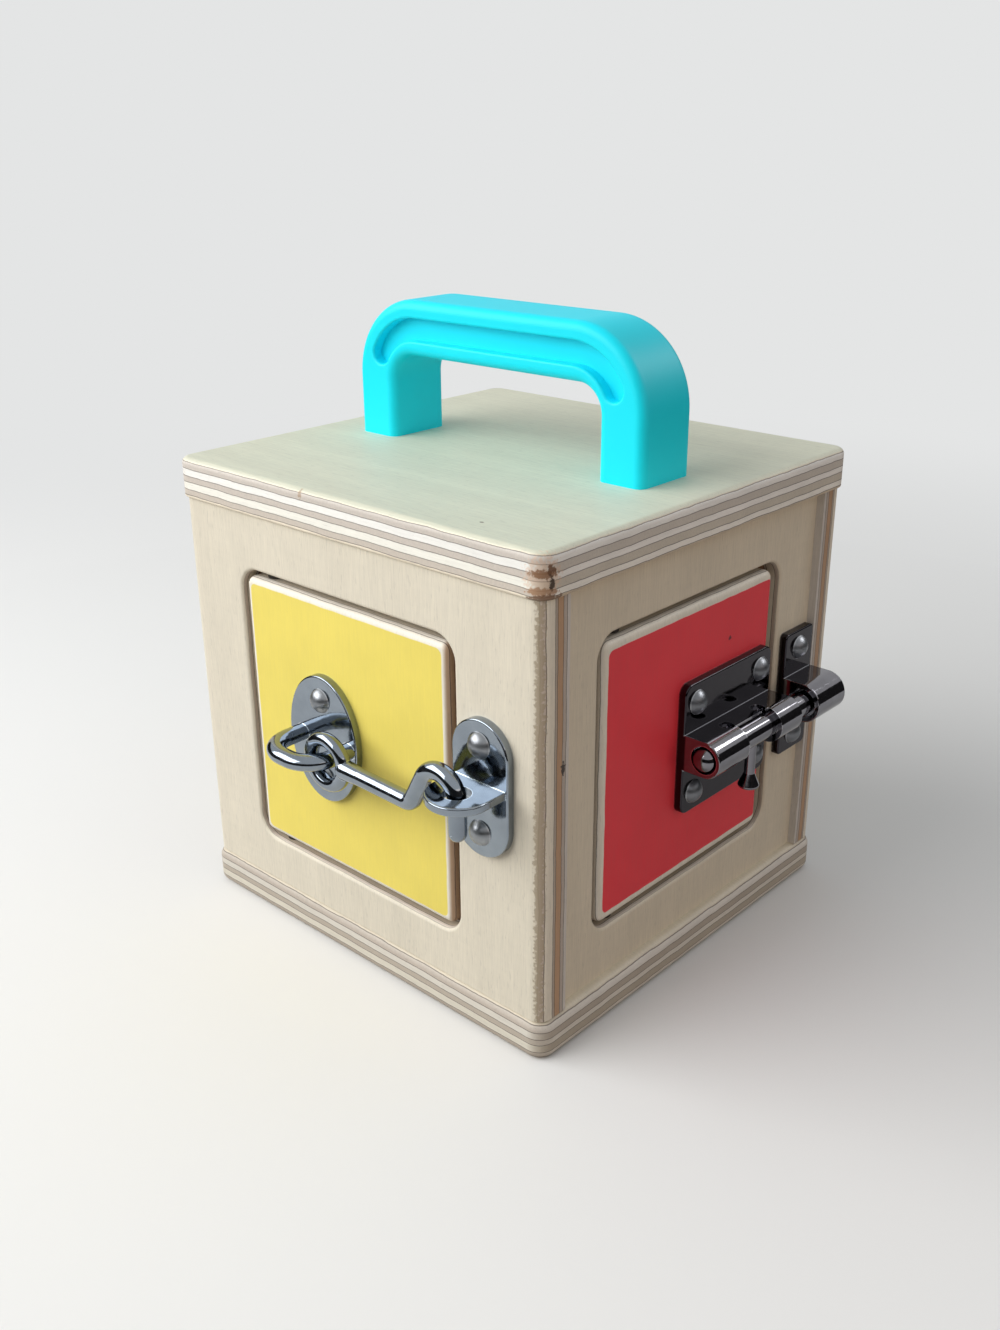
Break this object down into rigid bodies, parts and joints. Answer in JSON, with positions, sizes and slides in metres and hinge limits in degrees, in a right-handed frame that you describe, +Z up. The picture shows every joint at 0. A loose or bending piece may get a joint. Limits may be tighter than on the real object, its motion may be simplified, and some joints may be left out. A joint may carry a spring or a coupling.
{
  "type": "wooden latch box",
  "caption": "Plywood cube with a carry handle and small flush doors, one held shut by a cabin hook and one by a barrel bolt, for practising latches.",
  "frame": {"origin": "centre of the underside of the base, on the surface that the box stands on", "axes": "+X to the right along the front with the yellow door, +Y from the front to the back, +Z up"},
  "size_m": [0.1559, 0.1585, 0.186],
  "materials": {
    "plywood": "clear matt lacquer",
    "dowel_wood": "bare",
    "yellow_painted_wood": "matt yellow paint on the face",
    "red_painted_wood": "matt red paint on the face",
    "cyan_plastic": "satin",
    "bright_nickel": "bright nickel plating",
    "dark_nickel": "dark nickel plating",
    "plain_steel": "zinc plated"
  },
  "bodies": {
    "root": {"base_panel": "plywood", "lid_panel": "plywood", "front_panel": "plywood", "back_panel": "plywood", "left_panel": "plywood", "right_panel": "plywood", "base_dowels": "dowel_wood", "lid_dowels": "dowel_wood", "corner_dowels": "dowel_wood", "carry_handle": "cyan_plastic", "handle_screws": "plain_steel", "front_door_pivots": "plain_steel", "front_door_stop": "plywood", "right_door_pivots": "plain_steel", "right_door_stop": "plywood", "hook_keeper": "bright_nickel", "hook_keeper_pins": "bright_nickel", "bolt_keeper": "dark_nickel", "bolt_keeper_pins": "bright_nickel"},
    "front_door_body": {"front_door": "yellow_painted_wood", "hook_staple_plate": "bright_nickel", "hook_staple_pins": "bright_nickel"},
    "hook_body": {"cabin_hook": "bright_nickel"},
    "right_door_body": {"right_door": "red_painted_wood", "bolt_housing": "dark_nickel", "bolt_housing_pins": "bright_nickel"},
    "bolt_body": {"bolt_rod": "dark_nickel", "bolt_knob": "dark_nickel"}
  },
  "joints": [
    {"name": "front_door_swing", "type": "hinge", "parent": "root", "child": "front_door_body", "pos_m": [-0.0352, -0.064, 0.0711], "axis": [0, 0, -1], "range_deg": [0, 100]},
    {"name": "hook_lift", "type": "hinge", "parent": "front_door_body", "child": "hook_body", "pos_m": [0.0017, -0.0796, 0.0715], "axis": [0, -1, 0], "range_deg": [0, 100]},
    {"name": "right_door_swing", "type": "hinge", "parent": "root", "child": "right_door_body", "pos_m": [0.0635, -0.0341, 0.0711], "axis": [0, 0, -1], "range_deg": [0, 100]},
    {"name": "bolt_slide", "type": "slide", "parent": "right_door_body", "child": "bolt_body", "axis": [0, 1, 0], "range_m": [-0.0078, 0.0056]}
  ]
}
